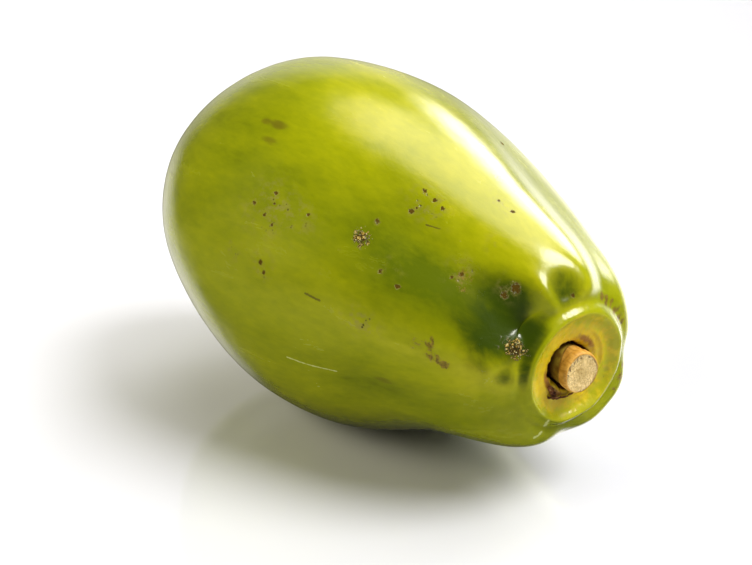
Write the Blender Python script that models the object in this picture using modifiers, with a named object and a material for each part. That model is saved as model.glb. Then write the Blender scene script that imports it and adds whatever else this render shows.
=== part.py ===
"""A whole green papaya lying on its side, with the cut stub of its stem.

The fruit lies along X with its stem end towards +X, Z is up, and the unit is the metre. The origin is on
the flat spot that the fruit rests on, straight below the centre of its belly.

Places on the skin have two coordinates. "axial" is the distance from the belly along the fruit's own
axis, towards the stem. "angle" goes round that axis in degrees: 90 is the top, 180 the -Y side, 270 the
underside and 0 the +Y side.
"""
import math

import bmesh
import bpy
from mathutils import Matrix, Vector

# Driving dimensions, in metres and degrees
BELLY_HEIGHT = 0.0696
AXIS_TILT = 5.8
GAP = 0.0003

# Half outline of the fruit from the blossom end to the bottom of the hole round the stem:
# control points of one smooth curve, each an axial place and a radius
BLOSSOM_HALF = [(-0.101, 0.0), (-0.101, 0.020), (-0.084, 0.0415), (-0.050, 0.0645), (-0.008, 0.071)]
STEM_HALF = [(0.034, 0.066), (0.072, 0.0520), (0.100, 0.0430), (0.1140, 0.0358), (0.1200, 0.0290)]
RING_AND_DISH = [(0.1188, 0.0245), (0.1245, 0.0217), (0.1207, 0.0190), (0.1200, 0.0150), (0.1198, 0.0113)]
STEM_HOLE = [(0.1185, 0.0094), (0.1130, 0.0094), (0.1085, 0.0082), (0.108, 0.004), (0.108, 0.0)]
OUTLINE = BLOSSOM_HALF + STEM_HALF + RING_AND_DISH + STEM_HOLE
SPANS = len(OUTLINE) - 1
# Places along that curve, counted in control points, where the shoulder, ring, dish and hole begin
SHOULDER_SPAN = len(BLOSSOM_HALF) + len(STEM_HALF) - 1.5
RING_SPAN = SHOULDER_SPAN + 2.0
DISH_SPAN = RING_SPAN + 1.0
HOLE_SPAN = RING_SPAN + 3.0

# Facets of the fruit: round the axis, and along each span of the outline
FACETS_ROUND = 64
FACETS_PER_SPAN = 3
SHARP_ANGLE = 50.0

# The five lobes: the height of a crown over the mean skin, at the belly and at the shoulder
LOBES = 5
LOBE_CROWN_ANGLE = 96.4
LOBE_AT_BELLY = 0.0009
LOBE_AT_SHOULDER = 0.0026
LOBE_SHARPNESS = 0.25
LOBE_FADE_IN = (-0.100, -0.040)
LOBE_GROWTH = (0.0, 0.100)

# Broad swells and flats of this fruit, all of one length and width in degrees: axial place, angle, height
SWELL_LENGTH = 0.026
SWELL_WIDTH = 28.0
SWELLS = [
    (-0.050, 242, -0.0017),
    (0.000, 242, 0.0018),
    (0.035, 242, 0.0017),
    (0.070, 242, -0.0039),
    (0.102, 242, -0.0018),
    (0.108, 282, 0.0031),
    (0.108, 312, -0.0029),
    (0.112, 342, 0.0035),
    (0.112, 17, -0.0040),
    (-0.050, 62, 0.0009),
    (0.000, 52, 0.0013),
    (0.010, 284, 0.0010),
    (0.040, 286, 0.0034),
]

# Hollows and ridges beside the ring: place counted in control points, angle, height, half length in the
# same count, half width in degrees
FORM_STEEPNESS = 1.35
BIG_HOLLOW = (8.8, 149, -0.0062, 1.3, 22)
TOP_PIT = (8.75, 101, -0.0032, 0.75, 13)
LOW_HOLLOW = (8.8, 177, -0.0020, 0.6, 10)
PIT_RIDGE = (8.7, 114, 0.0012, 1.0, 5)
SCAR_KNOB = (9.2, 155, 0.0030, 0.55, 9)
RING_NOTCH = (11.2, 212, -0.0014, 0.6, 8)
SHOULDER_FORMS = [BIG_HOLLOW, TOP_PIT, LOW_HOLLOW, PIT_RIDGE, SCAR_KNOB, RING_NOTCH]

# The small tip at the blossom end
TIP_HEIGHT = 0.0014
TIP_RADIUS = 0.005

# The stem end faces a little to the -Y side and upwards: slopes of its plane against the axis
END_SLOPE_SIDE = 0.064
END_SLOPE_UP = -0.014
END_SLOPE_RANGE = (0.085, 0.118)

# The ring stands a little off the axis, the hole off the ring's middle, and the stem off the axis too;
# the stem leans a little to the -Y side and down
RING_OFFSET = (-0.0010, 0.0)
HOLE_OFFSET = (-0.0003, -0.0006)
STEM_OFFSET = (-0.0004, -0.0006)
STEM_DIRECTION = (1.0, -0.06, -0.02)

# The stem stub from its cut face down to its toe at the bottom of the hole: radius and axial place
STEM_CUT_AXIAL = 0.1268
STEM_TOE_AXIAL = STEM_HOLE[-1][0] + GAP
STEM_OUTLINE = [
    (0.0, STEM_CUT_AXIAL),
    (0.0073, STEM_CUT_AXIAL),
    (0.0079, STEM_CUT_AXIAL - 0.0010),
    (0.0081, 0.1220),
    (0.0082, 0.1190),
    (0.0080, 0.1150),
    (0.0066, 0.1105),
    (0.0034, STEM_TOE_AXIAL),
    (0.0, STEM_TOE_AXIAL),
]
STEM_FACETS = 28
MERGE_DISTANCE = 0.00005

# The dry calyx scrap: where it lies in the dish, and its thickness
SCRAP_ANGLES = (206.0, 264.0)
SCRAP_SPANS = (DISH_SPAN + 1.0, HOLE_SPAN + 0.8)
SCRAP_LIFT = 0.0005
SCRAP_THICKNESS = 0.0009
SCRAP_FACETS = (14, 4)
SCRAP_RAG = 0.35
SCRAP_END_TAPER = 0.6
SCRAP_RAG_WAVES = (11.0, 23.0)
SCRAP_RAG_SHIFT = 40.0

# Colours and roughness
SKIN_COLOUR = (0.26, 0.27, 0.02, 1.0)
STEM_COLOUR = (0.55, 0.33, 0.12, 1.0)
CALYX_COLOUR = (0.16, 0.07, 0.03, 1.0)
SKIN_ROUGHNESS = 0.28
DRY_ROUGHNESS = 0.8


def clear_scene():
    for item in list(bpy.data.objects):
        bpy.data.objects.remove(item)


def make_material(name, colour, roughness):
    material = bpy.data.materials.new(name)
    material.use_nodes = True
    shader = material.node_tree.nodes["Principled BSDF"]
    shader.inputs["Base Color"].default_value = colour
    shader.inputs["Roughness"].default_value = roughness
    shader.inputs["Metallic"].default_value = 0.0
    material.diffuse_color = colour
    return material


def add_object(name, mesh, material, collection):
    part = bpy.data.objects.new(name, mesh)
    collection.objects.link(part)
    mesh.materials.append(material)
    return part


def smooth_step(low, high, value):
    share = min(max((value - low) / (high - low), 0.0), 1.0)
    return share * share * (3.0 - 2.0 * share)


def outline_point(place):
    """Point of the half outline at a place from 0 to SPANS, with the unit normal that points outwards."""
    first = (OUTLINE[1][0], -OUTLINE[1][1])
    last = (OUTLINE[-2][0], -OUTLINE[-2][1])
    cage = [first] + OUTLINE + [last]
    span = min(int(place), SPANS - 1)
    u = place - span
    weights = ((1 - u) ** 3, 3 * u ** 3 - 6 * u ** 2 + 4, -3 * u ** 3 + 3 * u ** 2 + 3 * u + 1, u ** 3)
    slopes = (-(1 - u) ** 2, 3 * u ** 2 - 4 * u, -3 * u ** 2 + 2 * u + 1, u ** 2)
    axial = sum(w * p[0] for w, p in zip(weights, cage[span:span + 4])) / 6
    radius = sum(w * p[1] for w, p in zip(weights, cage[span:span + 4])) / 6
    run = sum(s * p[0] for s, p in zip(slopes, cage[span:span + 4]))
    rise = sum(s * p[1] for s, p in zip(slopes, cage[span:span + 4]))
    length = math.hypot(run, rise)
    return axial, radius, -rise / length, run / length


def angle_between(angle, centre):
    return (angle - centre + 180.0) % 360.0 - 180.0


def bump(position, angle, form, steepness=1.0):
    """Rounded swelling or hollow, given as position, angle, height, half length and half width."""
    centre, centre_angle, height, half_length, half_width = form
    along = (position - centre) / half_length
    round_axis = angle_between(angle, centre_angle) / half_width
    return height * math.exp(-(along ** 2 + round_axis ** 2) ** steepness)


def lobe_wave(angle):
    """1 on the crown of each lobe and -1 in each groove, with crowns broader than grooves."""
    wave = math.cos(math.radians(LOBES * (angle - LOBE_CROWN_ANGLE)))
    return wave + LOBE_SHARPNESS * (1.0 - wave * wave)


def relief(place, axial, radius, angle):
    """Height of the skin over the round outline, from the lobes, the swells and the hollows."""
    growth = smooth_step(*LOBE_GROWTH, axial)
    lobe = LOBE_AT_BELLY + (LOBE_AT_SHOULDER - LOBE_AT_BELLY) * growth
    height = lobe * lobe_wave(angle) * smooth_step(*LOBE_FADE_IN, axial)
    for centre, centre_angle, swell in SWELLS:
        height += bump(axial, angle, (centre, centre_angle, swell, SWELL_LENGTH, SWELL_WIDTH))
    height *= 1.0 - smooth_step(SHOULDER_SPAN, RING_SPAN, place)
    outside_dish = 1.0 - smooth_step(RING_SPAN, DISH_SPAN, place)
    for form in SHOULDER_FORMS:
        height += bump(place, angle, form, FORM_STEEPNESS) * outside_dish
    if axial < 0.0:
        height += TIP_HEIGHT * math.exp(-(radius / TIP_RADIUS) ** 2)
    return height


def stand(point):
    """Turns a point of the fruit's own frame into the lying fruit's frame."""
    turned = Matrix.Rotation(math.radians(AXIS_TILT), 3, "Y") @ point
    return turned + Vector((0.0, 0.0, BELLY_HEIGHT))


def end_slope(axial, side, up):
    """Axial shift that turns the stem end's plane."""
    return smooth_step(*END_SLOPE_RANGE, axial) * (END_SLOPE_SIDE * side + END_SLOPE_UP * up)


def skin_point(place, angle, lift=0.0):
    """Point of the skin at a place along the outline and an angle round the axis."""
    axial, radius, normal_axial, normal_radial = outline_point(place)
    height = relief(place, axial, radius, angle) + lift
    axial += normal_axial * height
    radius += normal_radial * height
    at_ring = smooth_step(SHOULDER_SPAN, RING_SPAN, place)
    at_hole = smooth_step(RING_SPAN, HOLE_SPAN, place)
    side = radius * math.cos(math.radians(angle)) + RING_OFFSET[0] * at_ring + HOLE_OFFSET[0] * at_hole
    up = radius * math.sin(math.radians(angle)) + RING_OFFSET[1] * at_ring + HOLE_OFFSET[1] * at_hole
    return stand(Vector((axial + end_slope(axial, side, up), side, up)))


def make_fruit(collection):
    """A sphere whose rings of vertices are moved onto the skin, cut off flat where the fruit rests."""
    bm = bmesh.new()
    bmesh.ops.create_uvsphere(bm, u_segments=FACETS_ROUND, v_segments=SPANS * FACETS_PER_SPAN, radius=1.0)
    for vertex in bm.verts:
        polar = math.acos(min(max(vertex.co.z, -1.0), 1.0))
        place = SPANS * (1.0 - polar / math.pi)
        angle = math.degrees(math.atan2(vertex.co.y, vertex.co.x)) % 360.0
        vertex.co = skin_point(place, angle)
    everything = bm.verts[:] + bm.edges[:] + bm.faces[:]
    cut = bmesh.ops.bisect_plane(
        bm, geom=everything, dist=GAP / 10, plane_co=(0, 0, 0), plane_no=(0, 0, 1), clear_inner=True)
    rim = [item for item in cut["geom_cut"] if isinstance(item, bmesh.types.BMEdge)]
    for vertex in {vertex for edge in rim for vertex in edge.verts}:
        vertex.co.z = 0.0
    bmesh.ops.edgeloop_fill(bm, edges=rim)
    bmesh.ops.recalc_face_normals(bm, faces=bm.faces[:])
    mesh = bpy.data.meshes.new("fruit_body")
    bm.to_mesh(mesh)
    bm.free()
    mesh.shade_smooth()
    mesh.set_sharp_from_angle(angle=math.radians(SHARP_ANGLE))
    return add_object("fruit_body", mesh, make_material("skin", SKIN_COLOUR, SKIN_ROUGHNESS), collection)


def make_stem(collection):
    """The stub: a turned outline, from the middle of the cut face down to the toe in the hole."""
    mesh = bpy.data.meshes.new("stem_stub")
    points = [(radius, 0.0, axial - STEM_TOE_AXIAL) for radius, axial in STEM_OUTLINE]
    edges = [(index, index + 1) for index in range(len(points) - 1)]
    mesh.from_pydata(points, edges, [])
    stem = add_object("stem_stub", mesh, make_material("stem", STEM_COLOUR, DRY_ROUGHNESS), collection)
    screw = stem.modifiers.new("Turn", "SCREW")
    screw.axis = "Z"
    screw.angle = math.tau
    screw.steps = STEM_FACETS
    screw.render_steps = STEM_FACETS
    screw.use_merge_vertices = True
    screw.merge_threshold = MERGE_DISTANCE
    screw.use_smooth_shade = True
    tilt = Matrix.Rotation(math.radians(AXIS_TILT), 3, "Y")
    stem.rotation_euler = (tilt @ Vector(STEM_DIRECTION)).to_track_quat("Z", "Y").to_euler()
    stem.location = stand(Vector((STEM_TOE_AXIAL, STEM_OFFSET[0], STEM_OFFSET[1])))
    return stem


def rag(angle):
    """Uneven width of the scrap, from 0 to 1, along its length."""
    slow, quick = SCRAP_RAG_WAVES
    wave = math.sin(math.radians(angle * slow)) + math.sin(math.radians(angle * quick + SCRAP_RAG_SHIFT))
    return 0.5 + 0.25 * wave


def make_calyx(collection):
    """A ragged sheet that lies in the dish, thickened upwards."""
    bm = bmesh.new()
    bmesh.ops.create_grid(bm, x_segments=SCRAP_FACETS[0], y_segments=SCRAP_FACETS[1], size=1.0)
    low_angle, high_angle = SCRAP_ANGLES
    low_span, high_span = SCRAP_SPANS
    for vertex in bm.verts:
        angle = low_angle + (high_angle - low_angle) * (vertex.co.x + 1.0) / 2
        width = (high_span - low_span) * (1.0 - SCRAP_RAG * rag(angle))
        taper = 1.0 - SCRAP_END_TAPER * vertex.co.x ** 4
        place = high_span - width * taper * (1.0 - vertex.co.y) / 2
        vertex.co = skin_point(place, angle, SCRAP_LIFT)
    mesh = bpy.data.meshes.new("calyx_scrap")
    bm.to_mesh(mesh)
    bm.free()
    scrap = add_object("calyx_scrap", mesh, make_material("calyx", CALYX_COLOUR, DRY_ROUGHNESS), collection)
    shell = scrap.modifiers.new("Thickness", "SOLIDIFY")
    shell.thickness = SCRAP_THICKNESS
    shell.offset = 1.0
    return scrap


def main():
    clear_scene()
    papaya = bpy.data.collections.new("papaya")
    bpy.context.scene.collection.children.link(papaya)
    make_fruit(papaya)
    make_stem(papaya)
    make_calyx(papaya)


main()
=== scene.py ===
"""Looks of the green papaya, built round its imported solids.

The skin repeats the solid's own formula on a finer net and adds small relief: the ring's waves, creases,
fibres and scars. Lengths are metres and angles are degrees. "place" counts the control points of the
fruit's half outline from the blossom end, "axial" is the distance from the belly towards the stem, and
"angle" goes round the fruit's axis: 90 is the top and 180 the -Y side.
"""
import math

import bpy
import numpy as np
from mathutils import Matrix, Vector, noise


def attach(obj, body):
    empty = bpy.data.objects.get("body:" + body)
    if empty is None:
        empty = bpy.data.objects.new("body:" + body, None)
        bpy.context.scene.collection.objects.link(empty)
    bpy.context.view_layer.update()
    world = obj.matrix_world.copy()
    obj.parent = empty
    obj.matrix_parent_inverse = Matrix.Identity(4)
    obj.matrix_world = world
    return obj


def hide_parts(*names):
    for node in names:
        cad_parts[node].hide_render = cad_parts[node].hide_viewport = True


# The fruit's shape, as in the solid
BELLY_HEIGHT = 0.0696
AXIS_TILT = 5.8
BLOSSOM_HALF = [(-0.101, 0.0), (-0.101, 0.020), (-0.084, 0.0415), (-0.050, 0.0645), (-0.008, 0.071)]
STEM_HALF = [(0.034, 0.066), (0.072, 0.0520), (0.100, 0.0430), (0.1140, 0.0358), (0.1200, 0.0290)]
RING_AND_DISH = [(0.1188, 0.0245), (0.1245, 0.0217), (0.1207, 0.0190), (0.1200, 0.0150), (0.1198, 0.0113)]
STEM_HOLE = [(0.1185, 0.0094), (0.1130, 0.0094), (0.1085, 0.0082), (0.108, 0.004), (0.108, 0.0)]
OUTLINE = BLOSSOM_HALF + STEM_HALF + RING_AND_DISH + STEM_HOLE
SPANS = len(OUTLINE) - 1
SHOULDER_SPAN = len(BLOSSOM_HALF) + len(STEM_HALF) - 1.5
RING_SPAN = SHOULDER_SPAN + 2.0
DISH_SPAN = RING_SPAN + 1.0
HOLE_SPAN = RING_SPAN + 3.0
CREST = RING_SPAN + 0.5
LOBES = 5
LOBE_CROWN_ANGLE = 96.4
LOBE_AT_BELLY = 0.0009
LOBE_AT_SHOULDER = 0.0026
LOBE_SHARPNESS = 0.25
LOBE_FADE_IN = (-0.100, -0.040)
LOBE_GROWTH = (0.0, 0.100)
SWELL_LENGTH = 0.026
SWELL_WIDTH = 28.0
# Broad swells and flats: axial place, angle, height
SWELLS = [
    (-0.050, 242, -0.0017),
    (0.000, 242, 0.0018),
    (0.035, 242, 0.0017),
    (0.070, 242, -0.0039),
    (0.102, 242, -0.0018),
    (0.108, 282, 0.0031),
    (0.108, 312, -0.0029),
    (0.112, 342, 0.0035),
    (0.112, 17, -0.0040),
    (-0.050, 62, 0.0009),
    (0.000, 52, 0.0013),
    (0.010, 284, 0.0010),
    (0.040, 286, 0.0034),
]
# Forms beside the ring: place, angle, height, half length in places, half width in degrees
FORM_STEEPNESS = 1.35
BIG_HOLLOW = (8.8, 149, -0.0062, 1.3, 22)
TOP_PIT = (8.75, 101, -0.0032, 0.75, 13)
LOW_HOLLOW = (8.8, 177, -0.0020, 0.6, 10)
PIT_RIDGE = (8.7, 114, 0.0012, 1.0, 5)
SCAR_KNOB = (9.2, 155, 0.0030, 0.55, 9)
RING_NOTCH = (11.2, 212, -0.0014, 0.6, 8)
SHOULDER_FORMS = [BIG_HOLLOW, TOP_PIT, LOW_HOLLOW, PIT_RIDGE, SCAR_KNOB, RING_NOTCH]
TIP_HEIGHT = 0.0014
TIP_RADIUS = 0.005
END_SLOPE_SIDE = 0.064
END_SLOPE_UP = -0.014
END_SLOPE_RANGE = (0.085, 0.118)
RING_OFFSET = (-0.0010, 0.0)
HOLE_OFFSET = (-0.0003, -0.0006)
STEM_OFFSET = (-0.0004, -0.0006)
STEM_DIRECTION = (1.0, -0.06, -0.02)
STEM_CUT_AXIAL = 0.1268
STEM_TOE_AXIAL = 0.1083

# Small relief that the solid leaves out. Dents: height, waves per metre, shift of the noise.
# Waves round the axis: height, waves round, waves along, shift of the noise
BROAD_DENTS = (0.00030, 34.0, 0.0)
SMALL_DENTS = (0.00008, 110.0, 5.0)
CREST_WAVES = (0.00055, 2.0, 0.2, 2.0)
CREST_RIPPLES = (0.00008, 7.0, 0.3, 7.0)
CREASES = (0.00012, 16.0, 0.35, 11.0)
FOLD_HEIGHT = 0.00055
FOLD_WAVES = (0.5, 5.0, 0.1, 3.0)
DISH_FIBRES = (0.00014, 13.0, 1.0, 17.0)
DISH_WAVES = (0.00022, 3.5, 1.6, 23.0)
RAGGED_LIP = (0.00045, 6.0, 1.2, 31.0)
WARTS = (0.00055, 620.0, 9.0)
CREST_HALF_WIDTH = 0.55
WARTY_KNOB = (9.25, 155.0, 1.0, 0.55, 8.0)
# The flesh comes closer to the stem below on the left and above on the right
FLESH_BELOW_LEFT = (15.0, 226.0, 0.0016, 1.3, 26.0)
FLESH_ABOVE_RIGHT = (15.0, 58.0, 0.0013, 1.3, 30.0)

# The net of the skin: columns round the axis, and rows before and after the shoulder
SKIN_COLUMNS = 270
SKIN_ROWS_BODY = 200
SKIN_ROWS_END = 158

# The camera's target, as read from the photograph's framing, and its direction
TARGET = Vector((0.0087, 0.0, BELLY_HEIGHT - 0.0156))
CAMERA_TURN = 49.92
CAMERA_RISE = 22.5
CAMERA_DISTANCE = 0.7
FOCAL_PIXELS = 1716.6
PHOTO_WIDTH = 752
SENSOR = 36.0


def smooth_step(low, high, value):
    share = np.clip((value - low) / (high - low), 0.0, 1.0)
    return share * share * (3.0 - 2.0 * share)


def hill(value, centre, half_width):
    return np.exp(-((value - centre) / half_width) ** 2)


def angle_between(angle, centre):
    return (angle - centre + 180.0) % 360.0 - 180.0


def wander(points, scale, shift=0.0):
    """Smooth noise from -1 to 1 at each point."""
    offset = Vector((shift, shift, shift))
    return np.array([noise.noise(Vector(point) * scale + offset) for point in points])


def dents(points, form):
    height, scale, shift = form
    return height * wander(points, scale, shift)


def waves_round(angle, other, form):
    """Smooth waves that close on themselves round the axis."""
    height, waves, scale, shift = form
    turn = np.radians(angle)
    points = np.stack([np.cos(turn) * waves, np.sin(turn) * waves, other * scale], -1)
    return height * wander(points, 1.0, shift)


def outline_point(place):
    """Axial places and radii on the half outline, with the two parts of the outward normals."""
    before = (OUTLINE[1][0], -OUTLINE[1][1])
    after = (OUTLINE[-2][0], -OUTLINE[-2][1])
    cage = np.array([before] + OUTLINE + [after])
    span = np.minimum(place.astype(int), SPANS - 1)
    part = place - span
    rest = 1 - part
    weights = [rest ** 3, 3 * part ** 3 - 6 * part ** 2 + 4, 3 * rest ** 3 - 6 * rest ** 2 + 4, part ** 3]
    slopes = [-rest ** 2, 3 * part ** 2 - 4 * part, 4 * rest - 3 * rest ** 2, part ** 2]
    point = sum(weight[:, None] * cage[span + step] for step, weight in enumerate(weights)) / 6
    slope = sum(change[:, None] * cage[span + step] for step, change in enumerate(slopes))
    length = np.hypot(slope[:, 0], slope[:, 1])
    return point[:, 0], point[:, 1], -slope[:, 1] / length, slope[:, 0] / length


def bump(position, angle, form, steepness=1.0):
    centre, centre_angle, height, half_length, half_width = form
    along = (position - centre) / half_length
    round_axis = angle_between(angle, centre_angle) / half_width
    return height * np.exp(-(along ** 2 + round_axis ** 2) ** steepness)


def lobe_wave(angle):
    wave = np.cos(np.radians(LOBES * (angle - LOBE_CROWN_ANGLE)))
    return wave + LOBE_SHARPNESS * (1.0 - wave * wave)


def relief(place, axial, radius, angle):
    """The solid's own height of the skin over the round outline."""
    growth = smooth_step(*LOBE_GROWTH, axial)
    lobe = LOBE_AT_BELLY + (LOBE_AT_SHOULDER - LOBE_AT_BELLY) * growth
    height = lobe * lobe_wave(angle) * smooth_step(*LOBE_FADE_IN, axial)
    for centre, centre_angle, swell in SWELLS:
        height = height + bump(axial, angle, (centre, centre_angle, swell, SWELL_LENGTH, SWELL_WIDTH))
    height = height * (1.0 - smooth_step(SHOULDER_SPAN, RING_SPAN, place))
    outside_dish = 1.0 - smooth_step(RING_SPAN, DISH_SPAN, place)
    for form in SHOULDER_FORMS:
        height = height + bump(place, angle, form, FORM_STEEPNESS) * outside_dish
    return height + np.where(axial < 0.0, TIP_HEIGHT * np.exp(-(radius / TIP_RADIUS) ** 2), 0.0)


def fine_relief(place, axial, radius, angle):
    """Small relief that the solid leaves out: waves of the ring, creases, fibres, folds and rough scars."""
    side = radius * np.cos(np.radians(angle))
    up = radius * np.sin(np.radians(angle))
    spots = np.stack([axial, side, up], -1)
    on_body = 1.0 - smooth_step(RING_SPAN - 0.6, RING_SPAN + 0.2, place)
    height = (dents(spots, BROAD_DENTS) + dents(spots, SMALL_DENTS)) * on_body
    on_crest = hill(place, CREST, CREST_HALF_WIDTH)
    height = height + on_crest * waves_round(angle, place, CREST_WAVES)
    height = height + on_crest * waves_round(angle, place, CREST_RIPPLES)
    # Creases that run up to the ring from outside, strongest on its upper side
    upper_side = 0.35 + 0.65 * hill(angle_between(angle, 105.0), 0.0, 35.0)
    near_ring = hill(place, RING_SPAN - 0.25, 0.5)
    height = height + near_ring * upper_side * waves_round(angle, place, CREASES)
    # The fold inside the dish on its far side, and fibres all round
    far_side = smooth_step(95.0, 60.0, np.abs(angle_between(angle, 5.0)))
    fold = hill(place, RING_SPAN + 2.45, 0.28) * far_side
    height = height + FOLD_HEIGHT * fold * (1.0 + waves_round(angle, place, FOLD_WAVES))
    past_ring = smooth_step(RING_SPAN + 0.9, RING_SPAN + 1.5, place)
    in_dish = past_ring * (1.0 - smooth_step(HOLE_SPAN + 2.7, HOLE_SPAN + 3.5, place))
    height = height + in_dish * waves_round(angle, place, DISH_FIBRES)
    height = height + in_dish * waves_round(angle, place, DISH_WAVES)
    height = height + bump(place, angle, FLESH_BELOW_LEFT) + bump(place, angle, FLESH_ABOVE_RIGHT)
    height = height + hill(place, HOLE_SPAN + 1.3, 0.9) * waves_round(angle, place, RAGGED_LIP)
    return height + bump(place, angle, WARTY_KNOB) * dents(spots, WARTS)


def stand(points):
    """Turns points of the fruit's own frame into the lying fruit's frame."""
    turn = np.array(Matrix.Rotation(math.radians(AXIS_TILT), 3, "Y"))
    return points @ turn.T + np.array([0.0, 0.0, BELLY_HEIGHT])


def skin_points(place, angle, lift=0.0):
    """Points of the skin, each with its axial place, for arrays of places and angles."""
    axial, radius, normal_axial, normal_radial = outline_point(place)
    height = relief(place, axial, radius, angle) + lift
    height = height + fine_relief(place, axial, radius, angle)
    axial = axial + normal_axial * height
    radius = np.where(radius > 0.0, radius + normal_radial * height, 0.0)
    at_ring = smooth_step(SHOULDER_SPAN, RING_SPAN, place)
    at_hole = smooth_step(RING_SPAN, HOLE_SPAN, place)
    side = radius * np.cos(np.radians(angle)) + RING_OFFSET[0] * at_ring + HOLE_OFFSET[0] * at_hole
    up = radius * np.sin(np.radians(angle)) + RING_OFFSET[1] * at_ring + HOLE_OFFSET[1] * at_hole
    sloped = axial + smooth_step(*END_SLOPE_RANGE, axial) * (END_SLOPE_SIDE * side + END_SLOPE_UP * up)
    return stand(np.stack([sloped, side, up], -1)), axial


def add_piece(name, vertices, faces, material):
    mesh = bpy.data.meshes.new(name)
    mesh.from_pydata(vertices, [], faces)
    mesh.validate()
    mesh.materials.append(material)
    mesh.shade_smooth()
    piece = bpy.data.objects.new(name, mesh)
    bpy.context.scene.collection.objects.link(piece)
    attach(piece, "root")
    return piece


def add_values(piece, name, values):
    """Stores one number for each vertex, for the material to read."""
    layer = piece.data.attributes.new(name, "FLOAT", "POINT")
    layer.data.foreach_set("value", np.asarray(values, dtype=np.float32))


def net_faces(rows, columns):
    """Faces of a closed net: one vertex at each end, and rows of columns between."""
    faces = []
    last = 1 + (rows - 1) * columns
    for column in range(columns):
        after = (column + 1) % columns
        faces.append((0, 1 + after, 1 + column))
        end = 1 + (rows - 2) * columns
        faces.append((last, end + column, end + after))
    for row in range(rows - 2):
        low = 1 + row * columns
        high = low + columns
        for column in range(columns):
            after = (column + 1) % columns
            faces.append((low + column, low + after, high + after, high + column))
    return faces


class Wiring:
    """Short helpers for building a material's nodes."""

    def __init__(self, name):
        self.material = bpy.data.materials.new(name)
        self.material.use_nodes = True
        self.tree = self.material.node_tree
        self.shader = self.tree.nodes["Principled BSDF"]
        self.coordinates = self.tree.nodes.new("ShaderNodeTexCoord").outputs["Object"]

    def link(self, source, target):
        if hasattr(source, "links"):
            self.tree.links.new(source, target)
        else:
            target.default_value = source

    def math(self, operation, first, second=0.0, clamp=False):
        node = self.tree.nodes.new("ShaderNodeMath")
        node.operation = operation
        node.use_clamp = clamp
        self.link(first, node.inputs[0])
        self.link(second, node.inputs[1])
        return node.outputs[0]

    def vector(self, operation, first, second):
        """Result of a vector operation: a number for a distance or dot product, otherwise a vector."""
        node = self.tree.nodes.new("ShaderNodeVectorMath")
        node.operation = operation
        self.link(first, node.inputs[0])
        self.link(second, node.inputs[1])
        return node.outputs["Value" if operation in ("DISTANCE", "DOT_PRODUCT") else "Vector"]

    def ramp(self, value, low, high, out_low=0.0, out_high=1.0, straight=False):
        node = self.tree.nodes.new("ShaderNodeMapRange")
        node.interpolation_type = "LINEAR" if straight else "SMOOTHSTEP"
        self.link(value, node.inputs["Value"])
        limits = {"From Min": low, "From Max": high, "To Min": out_low, "To Max": out_high}
        for key, number in limits.items():
            node.inputs[key].default_value = number
        return node.outputs["Result"]

    def sway(self, value, amount):
        """Turns a noise value round 0.5 into one round 0, of the given size."""
        return self.math("MULTIPLY", self.math("SUBTRACT", value, 0.5), amount)

    def add(self, *values):
        total = values[0]
        for value in values[1:]:
            total = self.math("ADD", total, value)
        return total

    def times(self, first, second):
        return self.math("MULTIPLY", first, second)

    def noise(self, scale, detail, roughness, stretch=1.0, shift=0.0, distortion=0.0):
        """Noise in the fruit's own frame. A stretch under 1 draws it out along the axis."""
        mapping = self.tree.nodes.new("ShaderNodeMapping")
        mapping.inputs["Scale"].default_value = (stretch, 1.0, 1.0)
        mapping.inputs["Location"].default_value = (shift, shift, shift)
        mapping.inputs["Rotation"].default_value = (0.0, math.radians(-AXIS_TILT), 0.0)
        self.link(self.coordinates, mapping.inputs["Vector"])
        node = self.tree.nodes.new("ShaderNodeTexNoise")
        self.link(mapping.outputs[0], node.inputs["Vector"])
        node.inputs["Scale"].default_value = scale
        node.inputs["Detail"].default_value = detail
        node.inputs["Roughness"].default_value = roughness
        node.inputs["Distortion"].default_value = distortion
        return node.outputs["Fac"]

    def cells(self, scale, feature="F1"):
        node = self.tree.nodes.new("ShaderNodeTexVoronoi")
        node.feature = feature
        node.inputs["Scale"].default_value = scale
        self.link(self.coordinates, node.inputs["Vector"])
        return node.outputs["Distance"]

    def value(self, name):
        node = self.tree.nodes.new("ShaderNodeAttribute")
        node.attribute_name = name
        return node.outputs["Fac"]

    def mix(self, share, first, second):
        node = self.tree.nodes.new("ShaderNodeMix")
        node.data_type = "RGBA"
        self.link(share, node.inputs["Factor"])
        for colour, socket in ((first, node.inputs["A"]), (second, node.inputs["B"])):
            self.link(colour if hasattr(colour, "links") else (*colour, 1.0), socket)
        return node.outputs["Result"]

    def bump(self, height, distance, strength=1.0, below=None):
        node = self.tree.nodes.new("ShaderNodeBump")
        node.inputs["Strength"].default_value = strength
        node.inputs["Distance"].default_value = distance
        self.link(height, node.inputs["Height"])
        if below:
            self.link(below, node.inputs["Normal"])
        return node.outputs["Normal"]


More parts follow.
